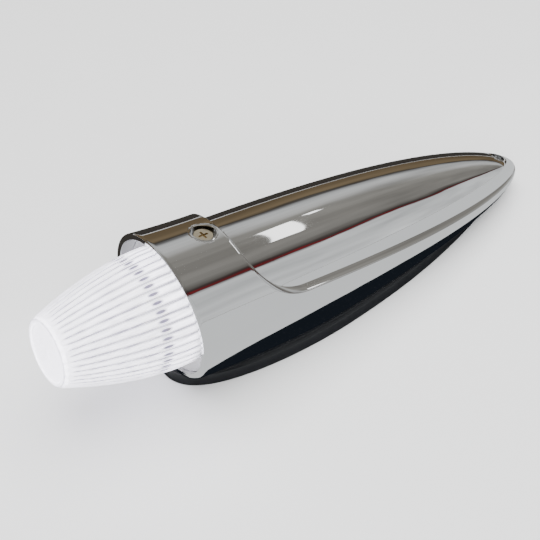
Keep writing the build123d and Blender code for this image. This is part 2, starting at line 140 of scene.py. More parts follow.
# %% [markdown]
# ## Small helpers
# Most pieces start as a flat grid whose points are then moved onto a curved form, or as a
# profile that is spun round an axis. A finished mesh is cleaned, its faces point outwards, and
# an edge stays crisp where two faces meet at a real corner. The lamp frame is a placement whose
# local z axis runs forward along the tilted lamp axis, from the middle of the mouth.

# %% Mesh helpers
crisp_angle = radians(38)
merge_gap = 0.004 * mm
mirror_gap = 0.01 * mm


def patch(mesh, rows, columns, place):
    """Grid whose points are moved by place(row, column share) with the share from 0 to 1."""
    made = bmesh.ops.create_grid(mesh, x_segments=rows, y_segments=columns, size=0.5)
    for vert in made["verts"]:
        row = round((vert.co.x + 0.5) * rows)
        vert.co = place(row, vert.co.y + 0.5)


def mirror_across(mesh, gap):
    """Add the other half of a mesh, across the plane of symmetry."""
    geometry = mesh.verts[:] + mesh.edges[:] + mesh.faces[:]
    bmesh.ops.mirror(mesh, geom=geometry, merge_dist=gap, axis="Y")


def linked_object(mesh, name):
    """Put a bmesh in the scene as an object."""
    data = bpy.data.meshes.new(name)
    mesh.to_mesh(data)
    mesh.free()
    item = bpy.data.objects.new(name, data)
    bpy.context.scene.collection.objects.link(item)
    return item


def finish_mesh(mesh, name, body, outward=True):
    """Clean a bmesh and give the finished piece to the body that it rides on."""
    bmesh.ops.remove_doubles(mesh, verts=mesh.verts, dist=merge_gap)
    bmesh.ops.dissolve_degenerate(mesh, edges=mesh.edges, dist=0.002 * mm)
    if outward:
        bmesh.ops.recalc_face_normals(mesh, faces=mesh.faces)
    for face in mesh.faces:
        face.smooth = True
    for edge in mesh.edges:
        edge.smooth = edge.calc_face_angle(0) < crisp_angle
    piece = linked_object(mesh, name)
    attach(piece, body)
    print(name, len(piece.data.polygons), "faces")
    return piece


def apply_modifiers(piece):
    """Make the modifiers' result the piece's own mesh."""
    made = piece.evaluated_get(bpy.context.evaluated_depsgraph_get())
    result = bpy.data.meshes.new_from_object(made)
    piece.modifiers.clear()
    piece.data = result


def spun(mesh, outline, steps):
    """Spin (radius, place) points about the local z axis into a closed turned shape."""
    verts = [mesh.verts.new((radius, 0, place)) for radius, place in outline]
    edges = [mesh.edges.new(pair) for pair in zip(verts, verts[1:])]
    bmesh.ops.spin(
        mesh, geom=verts + edges, cent=(0, 0, 0), axis=(0, 0, 1), angle=2 * pi,
        steps=steps, use_merge=True,
    )


lamp_frame = Matrix.Translation((mouth_x, 0, mouth_height)) @ Matrix((
    (sin(axis_pitch), 0, -cos(axis_pitch), 0),
    (0, 1, 0, 0),
    (cos(axis_pitch), 0, sin(axis_pitch), 0),
    (0, 0, 0, 1),
))
print("corners stay crisp above", round(crisp_angle / radians(1)), "degrees")

# %% [markdown]
# ## The skirt's edge
# The collar and the skirt stand a few millimetres proud of the bullet. Seen from the side,
# their edge drops from the collar's back, sweeps round in one big arc and runs straight to the
# tail. The edge is worked out as a list of places and angles round the axis, and everything
# above and below it is built from that one list.

# %% Work out the edge
collar_steps = 52
arc_steps = 24
tail_steps = 84
low_angle = radians(20)
slope = (skirt_tail_height - skirt_front_height) / (body_length - skirt_front_place)


def edge_line(x):
    """Height of the straight part of the edge."""
    return skirt_front_height + slope * (x - skirt_front_place)


arc_x = collar_length + sweep_radius
arc_z = edge_line(arc_x) + sweep_radius * hypot(1, slope)


def arc_place(angle):
    """Where the arc crosses an angle round the lamp axis; it settles in a few rounds."""
    x = collar_length
    for _ in range(12):
        z = edge_height((x, angle))
        x = arc_x - sqrt(max(sweep_radius**2 - (z - arc_z) ** 2, 0))
    return x


def edge_angle(x, z):
    """Angle round the axis of an edge point, 90 degrees being the top."""
    return asin(min((z - axis_height(x)) / skirt_half_width(x), 1))


def edge_height(point):
    """Height of an edge point."""
    x, angle = point
    return axis_height(x) + skirt_half_width(x) * sin(angle)


def skirt_edge():
    """Edge points (x, angle): down the collar by equal angles, round the arc, and to the nose."""
    points = []
    for step in range(collar_steps + 1):
        angle = pi / 2 + (low_angle - pi / 2) * step / collar_steps
        points.append((arc_place(angle), angle))
    first = atan2(edge_height(points[-1]) - arc_z, points[-1][0] - arc_x) % (2 * pi)
    last = 1.5 * pi + atan2(slope, 1)
    for step in range(1, arc_steps + 1):
        turn = first + (last - first) * step / arc_steps
        x = arc_x + sweep_radius * cos(turn)
        points.append((x, edge_angle(x, arc_z + sweep_radius * sin(turn))))
    start = points[-1][0]
    for step in range(1, tail_steps + 1):
        x = start + (body_length - start) * sin(pi / 2 * step / tail_steps)
        points.append((x, edge_angle(x, edge_line(x)) if step < tail_steps else 0.0))
    return points


edge = skirt_edge()
edge_ends = [round(x / mm, 1) for x in (edge[0][0], edge[-1][0])]
print("edge runs from", edge_ends, "mm,", len(edge), "points")

# %% [markdown]
# ## The chrome skin
# Chrome plate is a thin skin on the casting, and its reflections show every flaw in a surface.
# So the skin is built as smooth grids that share the edge's points: the rolled lip of the
# mouth, the collar and skirt, a cove down from the edge, and the bullet above it. Only one half
# is made and then mirrored. Solidify gives the plate its thickness. The sections below follow
# the same law as the solid casting, a hair further out.

# %% Sizes of the skin
skin_lift = 0.12 * mm
skin_thickness = 0.4 * mm
lip_radius = 1.1 * mm
inner_lip_radius = 0.28 * mm
bore_radius = 35.0 * mm
bore_depth = 11.3 * mm
flat_share = 0.06
front_steps = 44
side_columns = 54
top_columns = 36
edge_radius = 0.45 * mm
cove_columns = 14
cove_lean = 0.75
cove_hollow = 0.3
lip_steps = 6


def section_point(x, share, half_width, foot_width, base, top_angle):
    """Point on one side of a cross-section, from the middle of its foot up to top_angle."""
    centre = axis_height(x)
    if share < flat_share:
        return Vector((x, -foot_width * share / flat_share, base))
    start = acos(min(foot_width / max(half_width, 1e-6), 1))
    angle = -start + (top_angle + start) * (share - flat_share) / (1 - flat_share)
    depth = (centre - base) / max(sin(start), 1e-6) if angle < 0 else half_width
    return Vector((x, -half_width * cos(angle), centre + depth * sin(angle)))


def side_point(x, share, top_angle, inset=0.0):
    """Point on the collar and skirt, or a little inside them."""
    half_width = skirt_half_width(x) + skin_lift - inset
    return section_point(x, share, half_width, foot(x), pad_thickness + inset, top_angle)


def ring_point(share, radius, depth, top_angle):
    """Point in the bore, on the same share of the section as the collar outside it."""
    outer = side_point(0, share, top_angle)
    turn = atan2(outer.z - mouth_height, outer.y)
    forward = -depth - skin_lift
    point = lamp_frame @ Vector((radius * sin(turn), radius * cos(turn), forward))
    slide = tan(axis_pitch) * radius * sin(turn)
    point += lamp_frame.to_3x3() @ Vector((0, 0, slide))
    return Vector((point.x - mouth_x, point.y, point.z))


print("skin stands", round(skin_lift / mm, 2), "mm over the casting")

# %% [markdown]
# ## The mouth's lip
# The mouth of a die casting has a rounded corner outside and a finer one inside. The rows of
# the lip run from deep in the bore, over both corners, to the outside of the collar.

# %% Rows of the mouth's lip
bore_rows = 5


def lip_rows():
    """Functions (share, top_angle) that place the rows from inside the bore to the outside."""
    rows = []
    for part in range(bore_rows):
        depth = bore_depth + (inner_lip_radius - bore_depth) * part / (bore_rows - 1)
        rows.append(lambda share, top, d=depth: ring_point(share, bore_radius - skin_lift, d, top))
    for step in range(1, lip_steps + 1):
        turn = pi / 2 * step / lip_steps
        radius = bore_radius - skin_lift + inner_lip_radius * (1 - cos(turn))
        depth = inner_lip_radius * (1 - sin(turn))
        rows.append(lambda share, top, r=radius, d=depth: ring_point(share, r, d, top))
    for step in range(lip_steps + 1):
        turn = pi / 2 * step / lip_steps
        inset = lip_radius * (1 - sin(turn))
        x = lip_radius * (1 - cos(turn)) - skin_lift * (1 - step / lip_steps)
        rows.append(lambda share, top, i=inset, x=x: side_point(x, share, top, i))
    return rows


print(len(lip_rows()), "rows over the lip")

# %% [markdown]
# ## The cove under the edge
# The skirt doesn't drop straight to the bullet: a short shoulder slopes down, slightly hollow,
# and carries its own band of reflections. Its profile starts square to the edge, and each row
# turns with the edge's direction.

# %% The cove under the edge
corner_steps = 4
corner_share = 0.3


def cove_profile(height):
    """(sideways, down) points from the edge's rounding through the cove."""
    edge_round = min(edge_radius, corner_share * height)
    cove = height - edge_round
    points = []
    for step in range(corner_steps):
        turn = pi / 2 * step / corner_steps
        points.append((edge_round * sin(turn), edge_round * (1 - cos(turn))))
    for step in range(cove_columns - corner_steps + 1):
        share = step / (cove_columns - corner_steps)
        turn = pi / 2 * share
        hollow = (1 - cos(turn), sin(turn))
        sideways = cove_lean * (share + (hollow[0] - share) * cove_hollow)
        down = share + (hollow[1] - share) * cove_hollow
        points.append((edge_round + sideways * cove, edge_round + down * cove))
    return points


def cove_point(row, column):
    """Place, angle and radius of the cove at one row of the edge; column 0 is on the skirt."""
    x, angle = edge[row]
    before = edge[max(row - 1, 0)]
    after = edge[min(row + 1, len(edge) - 1)]
    width = skirt_half_width(x)
    along = after[0] - before[0]
    around = width * (after[1] - before[1])
    length = max(hypot(along, around), 1e-9)
    if row == 0:
        along, around, length = 0, -1, 1
    height = max(width - shell_radius * taper(x), 0)
    sideways, down = cove_profile(height)[column]
    new_x = min(x - sideways * around / length, body_length)
    turned = min(angle + sideways * along / length / max(width, 0.5 * mm), pi / 2)
    radius = max(skirt_half_width(new_x) + skin_lift - down, 0)
    return new_x, turned, radius


def on_axis(x, angle, radius):
    """Point at an angle and radius round the lamp axis."""
    return Vector((x, -radius * cos(angle), axis_height(x) + radius * sin(angle)))


print("cove goes down", round(cove_profile(skirt_radius - shell_radius)[-1][1] / mm, 2), "mm")

# %% [markdown]
# ## Grids of the skin
# Three groups of grids meet along shared borders. Below a low angle on the collar the rows run
# back under the skirt's edge to the tail. Above it they end on the collar's back edge. The cove
# and the bullet start from the whole of that edge.

# %% Grids of the skin
def lower_grids(mesh, rows):
    """Lip, collar and skirt below the low angle, and the skirt behind the arc."""
    columns = side_columns
    patch(mesh, len(rows) - 1, columns, lambda row, share: rows[row](share, low_angle))
    low_x = edge[collar_steps][0]
    front = [lip_radius + (low_x - lip_radius) * n / front_steps for n in range(front_steps + 1)]
    patch(mesh, front_steps, columns, lambda row, share: side_point(front[row], share, low_angle))
    behind = edge[collar_steps:]

    def skirt_point(row, share):
        x, angle = behind[row]
        return side_point(x, share, angle)

    patch(mesh, len(behind) - 1, columns, skirt_point)


def upper_grids(mesh, rows):
    """Lip and collar above the low angle; their columns end on the collar's back edge."""
    def angle_of(share):
        return edge[collar_steps - round(share * collar_steps)]

    patch(mesh, len(rows) - 1, collar_steps, lambda row, share: rows[row](1, angle_of(share)[1]))

    def collar_point(row, share):
        back_x, angle = angle_of(share)
        return side_point(lip_radius + (back_x - lip_radius) * row / front_steps, 1, angle)

    patch(mesh, front_steps, collar_steps, collar_point)


def bullet_grids(mesh):
    """Cove and bullet above the edge."""
    rows = len(edge) - 1

    def shoulder_point(row, share):
        return on_axis(*cove_point(row, round(share * cove_columns)))

    def bullet_point(row, share):
        x, angle, radius = cove_point(row, cove_columns)
        return on_axis(x, angle + (pi / 2 - angle) * share, radius)

    patch(mesh, rows, cove_columns, shoulder_point)
    patch(mesh, rows, top_columns, bullet_point)


print(len(edge) - 1, "rows along the edge")

# %% [markdown]
# ## Holes in the skin
# The screw holes are opened in the grid itself: faces inside the hole go, and the points left
# round it are drawn onto a circle on the same surface. A boolean cut would leave long faces
# whose shading shows as dents in chrome.

# %% Open the holes and build the skin
screw_place = -22.6 * mm
collar_hole_radius = 6.2 * mm
tail_hole_x = 230.0 * mm
tail_hole_radius = 4.3 * mm
hole_margin = 0.35 * mm
lamp_up = Vector((sin(axis_pitch), 0, cos(axis_pitch)))


def collar_surface(along, y):
    """Point of the collar at a place along the lamp axis and a sideways distance."""
    axis_point = lamp_frame @ Vector((0, y, along))
    off = skirt_radius
    for _ in range(8):
        x = axis_point.x - mouth_x + off * sin(axis_pitch)
        rise = sqrt(skirt_half_width(x) ** 2 - y**2)
        off = (axis_height(x) + rise - axis_point.z) / cos(axis_pitch)
    return axis_point + lamp_up * off


def tail_surface(x, y):
    """Point on top of the bullet near the nose."""
    radius = shell_radius * taper(x)
    return Vector((mouth_x + x, y, axis_height(x) + sqrt(max(radius**2 - y**2, 0))))


def open_hole(mesh, centre, direction, along, radius, surface):
    """Open a round hole where the upright line through centre leaves the skin."""
    def off_line(point):
        run = point - centre
        return run - direction * run.dot(direction)

    def near(point, reach):
        return (point - centre).dot(direction) > 0 and off_line(point).length < reach

    doomed = [face for face in mesh.faces if near(face.calc_center_median(), radius)]
    bmesh.ops.delete(mesh, geom=doomed, context="FACES")
    for vert in mesh.verts:
        if vert.is_boundary and near(vert.co, 2 * radius):
            away = off_line(vert.co).normalized() * radius
            vert.co = surface(away.dot(along), away.y) + direction * skin_lift
    print("opened", len(doomed), "faces")


def build_skin():
    """Half of the skin as grids that share their borders, then mirrored and given its wall."""
    mesh = bmesh.new()
    rows = lip_rows()
    lower_grids(mesh, rows)
    upper_grids(mesh, rows)
    bullet_grids(mesh)
    bmesh.ops.remove_doubles(mesh, verts=mesh.verts, dist=merge_gap)
    mirror_across(mesh, mirror_gap)
    bmesh.ops.remove_doubles(mesh, verts=mesh.verts, dist=merge_gap)
    bmesh.ops.translate(mesh, verts=mesh.verts, vec=(mouth_x, 0, 0))
    collar_centre = lamp_frame @ Vector((0, 0, screw_place))
    lamp_forward = lamp_frame.to_3x3() @ Vector((0, 0, 1))
    open_hole(mesh, collar_centre, lamp_up, lamp_forward, collar_hole_radius + hole_margin,
              lambda u, y: collar_surface(screw_place + u, y))
    tail_centre = Vector((mouth_x + tail_hole_x, 0, axis_height(tail_hole_x)))
    open_hole(mesh, tail_centre, Vector((0, 0, 1)), Vector((1, 0, 0)), tail_hole_radius + hole_margin,
              lambda u, y: tail_surface(tail_hole_x + u, y))
    return finish_mesh(mesh, "chrome_skin", "casting")


chrome_skin = build_skin()
shell = chrome_skin.modifiers.new("plate", "SOLIDIFY")
shell.thickness = skin_thickness
shell.offset = -1
apply_modifiers(chrome_skin)
print("skin box", [round(v / mm, 1) for v in chrome_skin.dimensions], "mm")

# %% [markdown]
# ## Procedural finishes
# Every finish is one Principled shader. A noise texture in object space moves its colour and its
# roughness a little, and a second, finer one drives a bump, so no surface is a flat single
# colour. The helper below builds that much, and finishes with a pattern of their own add to it.

# %% A helper for finishes
def finish(name, tint, roughness, metallic=0.0, grain=300, speckle=0.08, spread=0.08, relief=0.01,
           fine=1500, stretch=(1, 1, 1)):
    """Material with uneven colour and roughness and a fine bump; relief is in millimetres."""
    material = bpy.data.materials.new(name)
    material.use_nodes = True
    nodes, links = material.node_tree.nodes, material.node_tree.links
    shader = nodes["Principled BSDF"]
    shader.inputs["Metallic"].default_value = metallic
    place = nodes.new("ShaderNodeTexCoord")
    mapping = nodes.new("ShaderNodeMapping")
    mapping.inputs["Scale"].default_value = stretch
    links.new(place.outputs["Object"], mapping.inputs["Vector"])
    broad = nodes.new("ShaderNodeTexNoise")
    broad.inputs["Scale"].default_value = grain
    broad.inputs["Detail"].default_value = 5
    links.new(mapping.outputs["Vector"], broad.inputs["Vector"])
    blend = nodes.new("ShaderNodeMix")
    blend.data_type = "RGBA"
    blend.inputs[6].default_value = (*[c * (1 - speckle) for c in tint], 1)
    blend.inputs[7].default_value = (*[min(c * (1 + speckle), 1) for c in tint], 1)
    links.new(broad.outputs["Fac"], blend.inputs["Factor"])
    links.new(blend.outputs[2], shader.inputs["Base Color"])
    sheen = nodes.new("ShaderNodeMapRange")
    sheen.inputs["To Min"].default_value = max(roughness - spread, 0.01)
    sheen.inputs["To Max"].default_value = roughness + spread
    links.new(broad.outputs["Fac"], sheen.inputs["Value"])
    links.new(sheen.outputs["Result"], shader.inputs["Roughness"])
    grit = nodes.new("ShaderNodeTexNoise")
    grit.inputs["Scale"].default_value = fine
    grit.inputs["Detail"].default_value = 3
    links.new(mapping.outputs["Vector"], grit.inputs["Vector"])
    bump = nodes.new("ShaderNodeBump")
    bump.inputs["Strength"].default_value = 0.5
    bump.inputs["Distance"].default_value = relief * mm
    links.new(grit.outputs["Fac"], bump.inputs["Height"])
    links.new(bump.outputs["Normal"], shader.inputs["Normal"])
    return material


def wear(piece, material):
    """Give a piece or a CAD node one finish."""
    if piece.material_slots:
        for entry in piece.material_slots:
            entry.material = material
    else:
        piece.data.materials.append(material)


print("finishes are made by one helper")

# %% [markdown]
# ## Chrome
# Decorative chrome on a die casting is bright but never optically flat. The polishing leaves
# long soft waves, so straight reflections wander, and wiping leaves faint haze. The waves are a
# bump over centimetres, stretched along the lamp, as the buffing wheel runs.

# %% Chrome finish
chrome = finish("chrome_plate", (0.8, 0.805, 0.81), 0.035, metallic=1.0, grain=90, speckle=0.02,
                spread=0.02, relief=0.16, fine=60, stretch=(0.35, 1, 1))
chrome.node_tree.nodes["Bump"].inputs["Strength"].default_value = 0.35
wear(chrome_skin, chrome)
wear(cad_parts["housing"], chrome)
print("chrome on", chrome_skin.name, "and the casting")

# %% [markdown]
# ## The rolled lips of the holes
# A retaining screw sits in a counterbore in the collar's top, and a second counterbore near the
# nose takes a mounting screw. Each has a rolled lip that covers the skin's cut. The lip is a
# grid bent into a ring: its points keep their distance over the skin, so the ring follows the
# curved casting.

# %% Build the lips
lip_width = 0.9 * mm
lip_rise = 0.26 * mm
lip_sink = 0.1 * mm
lip_parts = 8
hole_columns = 96
hole_bend = 0.5 * mm
hole_draw = 0.4 * hole_bend
hole_bend_steps = 5
collar_lip_depth = 5.6 * mm
tail_lip_depth = 6.5 * mm


def lip_profile(radius, depth):
    """(reach, rise) points from the skin over the lip and down the hole's wall."""
    profile = [(radius + lip_width, skin_lift - lip_sink)]
    for step in range(1, lip_parts + 1):
        share = step / lip_parts
        rise = skin_lift - lip_sink + lip_rise * sin(pi / 2 * share)
        profile.append((radius + lip_width * (1 - share), rise))
    crown = profile[-1][1]
    for step in range(1, hole_bend_steps + 1):
        turn = pi / 2 * step / hole_bend_steps
        profile.append((radius - hole_draw * sin(turn), crown - hole_bend * (1 - cos(turn))))
    profile.append((radius - hole_draw, -depth))
    return profile


def hole_lip(name, radius, surface, up, depth):
    """Rolled lip and wall of a round hole; surface(along, across) gives the skin's place."""
    profile = lip_profile(radius, depth)
    mesh = bmesh.new()

    def place(row, share):
        reach, rise = profile[row]
        turn = 2 * pi * share
        return surface(reach * cos(turn), reach * sin(turn)) + up * rise

    patch(mesh, len(profile) - 1, hole_columns, place)
    bmesh.ops.remove_doubles(mesh, verts=mesh.verts, dist=merge_gap)
    bmesh.ops.recalc_face_normals(mesh, faces=mesh.faces)
    upward = [face for face in mesh.faces if face.calc_center_median().z > 0]
    if sum(face.normal.dot(up) for face in upward) < 0:
        bmesh.ops.reverse_faces(mesh, faces=mesh.faces)
    piece = finish_mesh(mesh, name, "casting", outward=False)
    wear(piece, chrome)
    return piece


collar_hole_lip = hole_lip("collar_hole_lip", collar_hole_radius,
                           lambda u, y: collar_surface(screw_place + u, y), lamp_up, collar_lip_depth)
tail_hole_lip = hole_lip("tail_hole_lip", tail_hole_radius,
                         lambda u, y: tail_surface(tail_hole_x + u, y), Vector((0, 0, 1)),
                         tail_lip_depth)

# %% [markdown]
# ## The fluted lens
# The lens is moulded in one piece: a thick flange that seats in the collar, a tapering fluted
# dome, a smooth band and a flat tip with fine rings. A profile is spun in many steps, and then
# the points of the outer wall are drawn in between the flutes. Three attributes are kept for
# the material: groove says where the grooves are, lit how strongly a place glows, and
# painted_shade_spot where the row of dark ovals that the fluting shows near the mouth is painted
# in as shade.

# %% Spin the lens
flute_count = 42
steps_per_flute = 12
flute_depth = 0.6 * mm
lens_reach = 60.0 * mm
lens_mouth_radius = 29.8 * mm
lens_tip_radius = 16.6 * mm
lens_bulge = 1.75
lens_wall = 3.0 * mm
flange_radius = 34.7 * mm
flange_front = -6.0 * mm
flange_back = -9.0 * mm
lens_back = -11.5 * mm
spigot_radius = 30.7 * mm
tip_band = 2.6 * mm
tip_drop = 0.5 * mm
tip_ring_gap = 1.45 * mm
tip_ring_depth = 0.28 * mm
tip_rim_foot = 2.6 * mm
tip_rim_top = 2.2 * mm
tip_edge_round = 1.0 * mm
tip_edge_steps = 4
tip_rings = 8
outer_places = 48
inner_places = 12
groove_fade = 3 * mm
spot_place = 13.7 * mm
spot_length = 3.4 * mm
bright_length = 22 * mm
wall_glow = 0.62
tip_glow = 0.9


def lens_radius(place):
    """Outside radius of the lens at a place along the lamp axis."""
    share = min(max(place / lens_reach, 0), 1)
    return lens_mouth_radius - (lens_mouth_radius - lens_tip_radius) * share**lens_bulge


def lens_outline():
    """Closed profile of the lens, from the middle of the tip round to its inside."""
    floor = lens_reach - tip_drop
    outline = [(0, floor)]
    for ring in range(1, tip_rings + 1):
        lift = 0.0 if ring % 2 else -tip_ring_depth
        outline.append((tip_ring_gap * ring, floor + lift))
    outline.append((lens_tip_radius - tip_rim_foot, floor))
    outline.append((lens_tip_radius - tip_rim_top, lens_reach))
    for step in range(tip_edge_steps + 1):
        turn = pi / 2 * step / tip_edge_steps
        outline.append((
            lens_tip_radius - tip_edge_round * (1 - sin(turn)),
            lens_reach - tip_edge_round * (1 - cos(turn)),
        ))
    for step in range(1, outer_places + 1):
        place = (lens_reach - tip_edge_round) * (1 - step / outer_places)
        outline.append((lens_radius(place), place))
    outline += [(lens_mouth_radius, flange_front), (flange_radius, flange_front)]
    outline += [(flange_radius, flange_back), (spigot_radius, flange_back), (spigot_radius, lens_back)]
    outline += [(lens_mouth_radius - lens_wall, lens_back), (lens_mouth_radius - lens_wall, 0)]
    for step in range(1, inner_places + 1):
        place = (lens_reach - lens_wall) * step / inner_places
        outline.append((lens_radius(place) - lens_wall, place))
    outline.append((0, lens_reach - lens_wall))
    return outline


def glow_share(place, outside, tip):
    """How strongly a place glows: most near the mouth, and not at all on the hidden faces."""
    if outside:
        return wall_glow + (1 - wall_glow) * max(1 - place / bright_length, 0)
    return tip_glow if tip else 0.0


def tip_groove(reach):
    """Groove value on the tip, which the material paints as shade: a thin line at the rim and faint
    rings.
    """
    on_rim = lens_tip_radius - 1.0 * mm < reach < lens_tip_radius - 0.1 * mm
    return 0.5 if on_rim else 0.12 * (round(reach / tip_ring_gap) % 2)


def build_lens():
    """The lens with its flutes, and the attributes for its material."""
    mesh = bmesh.new()
    spun(mesh, lens_outline(), flute_count * steps_per_flute)
    groove = mesh.verts.layers.float.new("groove")
    lit = mesh.verts.layers.float.new("lit")
    painted_shade_spot = mesh.verts.layers.float.new("painted_shade_spot")
    for vert in mesh.verts:
        reach = hypot(vert.co.x, vert.co.y)
        place = vert.co.z
        on_wall = abs(reach - lens_radius(place)) < 0.3 * mm
        outside = on_wall and 0 <= place < lens_reach - 0.9 * mm
        tip = place > lens_reach - 1.2 * mm
        vert[lit] = glow_share(place, outside, tip)
        if tip:
            vert[groove] = tip_groove(reach)
        if not outside:
            continue
        phase = atan2(vert.co.y, vert.co.x) * flute_count / (2 * pi)
        across = abs((phase % 1) - 0.5) * 2
        fade = min(max((lens_reach - tip_band - place) / groove_fade, 0), 1)
        depth = across**3
        # Painted shade: a row of dark ovals near the mouth, one on the middle of each flute.
        near_spot = max(1 - ((place - spot_place) / spot_length) ** 2, 0)
        vert[painted_shade_spot] = near_spot * max(1 - 1.6 * across, 0)
        vert[groove] = depth * fade
        scale = 1 - flute_depth * depth * fade / reach
        vert.co.x *= scale
        vert.co.y *= scale
    bmesh.ops.transform(mesh, matrix=lamp_frame, verts=mesh.verts)
    return finish_mesh(mesh, "fluted_lens", "lamp_unit")


fluted_lens = build_lens()
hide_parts("lens")

# %% [markdown]
# ## The lit plastic
# With the light on, a clear lens glows: each flute carries the light of the LEDs, and only the
# grooves and the steep edges stay a little grey and violet, as painted shade. The material is
# clear plastic with a glow of its own. The groove and painted_shade_spot attributes take the glow
# away and paint shade into the plastic's colour, and a long fine noise along the lamp makes the
# streaks uneven.

# %% Lens material
lens_glow = 3.4


def lit_plastic():
    """Clear plastic that carries the light of the LEDs along its flutes."""
    material = finish("lit_clear_plastic", (0.97, 0.965, 1.0), 0.07, grain=500, speckle=0.02,
                      spread=0.03, relief=0.02, fine=900)
    nodes, links = material.node_tree.nodes, material.node_tree.links
    shader = nodes["Principled BSDF"]
    shader.inputs["IOR"].default_value = 1.49
    shader.inputs["Transmission Weight"].default_value = 0.55

    def attribute(name):
        node = nodes.new("ShaderNodeAttribute")
        node.attribute_name = name
        return node.outputs["Fac"]

    def scaled(value, low, high, to_low, to_high):
        node = nodes.new("ShaderNodeMapRange")
        node.inputs["From Min"].default_value = low
        node.inputs["From Max"].default_value = high
        node.inputs["To Min"].default_value = to_low
        node.inputs["To Max"].default_value = to_high
        links.new(value, node.inputs["Value"])
        return node.outputs["Result"]

    def times(first, second):
        node = nodes.new("ShaderNodeMath")
        node.operation = "MULTIPLY"
        links.new(first, node.inputs[0])
        links.new(second, node.inputs[1])
        return node.outputs["Value"]

    streaks = nodes.new("ShaderNodeTexNoise")
    streaks.inputs["Scale"].default_value = 900
    along = nodes.new("ShaderNodeMapping")
    along.inputs["Rotation"].default_value = (0, -axis_pitch, 0)
    along.inputs["Scale"].default_value = (0.05, 1, 1)
    links.new(nodes["Texture Coordinate"].outputs["Object"], along.inputs["Vector"])
    links.new(along.outputs["Vector"], streaks.inputs["Vector"])
    rim = nodes.new("ShaderNodeLayerWeight")
    rim.inputs["Blend"].default_value = 0.35
    # Painted shade: the grooves, the steep edges and the dark ovals glow less.
    open_groove = scaled(attribute("groove"), 0.05, 0.6, 1.0, 0.12)
    streak = scaled(streaks.outputs["Fac"], 0.35, 0.6, 0.6, 1.0)
    glow = times(open_groove, streak)
    glow = times(glow, scaled(rim.outputs["Facing"], 0.3, 1.0, 1.0, 0.6))
    glow = times(glow, scaled(attribute("painted_shade_spot"), 0.1, 0.6, 1.0, 0.03))
    glow = times(glow, scaled(attribute("lit"), 0, 1, 0.0, lens_glow))
    # Painted shade: the grooves and the dark ovals darken the plastic's colour towards grey-violet.
    shade = nodes.new("ShaderNodeMath")
    shade.use_clamp = True
    line = scaled(attribute("groove"), 0.1, 0.7, 0, 0.9)
    uneven = times(line, scaled(streaks.outputs["Fac"], 0.35, 0.6, 1.0, 0.35))
    links.new(uneven, shade.inputs[0])
    links.new(scaled(attribute("painted_shade_spot"), 0.1, 0.6, 0, 1), shade.inputs[1])
    tint = nodes.new("ShaderNodeMix")
    tint.data_type = "RGBA"
    links.new(shade.outputs["Value"], tint.inputs["Factor"])
    links.new(shader.inputs["Base Color"].links[0].from_socket, tint.inputs[6])
    tint.inputs[7].default_value = (0.16, 0.14, 0.24, 1)
    links.new(tint.outputs[2], shader.inputs["Base Color"])
    shader.inputs["Emission Color"].default_value = (0.92, 0.905, 1.0, 1)
    links.new(glow, shader.inputs["Emission Strength"])
    return material


wear(fluted_lens, lit_plastic())
print("lens glows at", lens_glow)

# %% [markdown]
# ## Cutting rubber
# Rubber has no mirror finish, so here a boolean cut is good enough. A cutter is a plain solid
# that is taken out of the piece and then thrown away.

# %% A helper for round cuts
def cutter(name, radius, x, length):
    """Round upright cutter with its middle on the table, at x from the mouth."""
    mesh = bmesh.new()
    bmesh.ops.create_cone(
        mesh, cap_ends=True, segments=hole_columns, radius1=radius, radius2=radius, depth=length,
    )
    bmesh.ops.translate(mesh, verts=mesh.verts, vec=(mouth_x + x, 0, 0))
    return linked_object(mesh, name)


def cut(piece, tool):
    """Take a cutter out of a piece and throw the cutter away."""
    modifier = piece.modifiers.new("cut", "BOOLEAN")
    modifier.operation = "DIFFERENCE"
    modifier.solver = "EXACT"
    modifier.object = tool
    apply_modifiers(piece)
    bpy.data.objects.remove(tool)


print("round cutters have", hole_columns, "sides")

# %% [markdown]
# ## The rubber pad
# The pad is moulded rubber with a rounded foot and a soft top edge that stands a little proud of
# the casting. Its outline is the casting's footprint moved outwards, so each row of the grid is
# that outline at one height. The pad is hollow behind its rim, and holes go through it for the
# front stud, the tail screw and the grommet.

# %% Build the pad
pad_short = 4.0 * mm
pad_web = 2.5 * mm
pad_rim = 8.0 * mm
pad_proud_foot = 3.2 * mm
pad_proud_top = 1.2 * mm
pad_foot_round = 0.8 * mm
pad_top_round = 0.7 * mm
pad_round_steps = 5
pad_columns = 150
nose_flat = 0.3 * mm
hollow_front = 42.5 * mm
hollow_back = 204.0 * mm
hollow_columns = 40
pad_holes = {
    "stud_cutter": (64.0 * mm, 7.0 * mm),
    "tail_cutter": (tail_hole_x, 3.0 * mm),
    "grommet_cutter": (104.0 * mm, 5.5 * mm),
}


def pad_side(share, proud):
    """Point on one side of the pad's outline; share runs from the front to the tail."""
    end = foot_length - pad_short
    stretch = foot_length / end
    x = end * (1 - cos(pi * share)) / 2
    if share <= 0 or share >= 1:
        return Vector((x + (proud if share >= 1 else -proud), 0, 0))
    if x < nose_flat:
        return Vector((x - proud, -foot(stretch * x) * x / nose_flat, 0))
    step = 0.05 * mm
    low, high = max(x - step, 0), min(x + step, end)
    slope = (foot(stretch * high) - foot(stretch * low)) / (high - low)
    reach = hypot(1, slope)
    return Vector((x - proud * slope / reach, -foot(stretch * x) - proud / reach, 0))


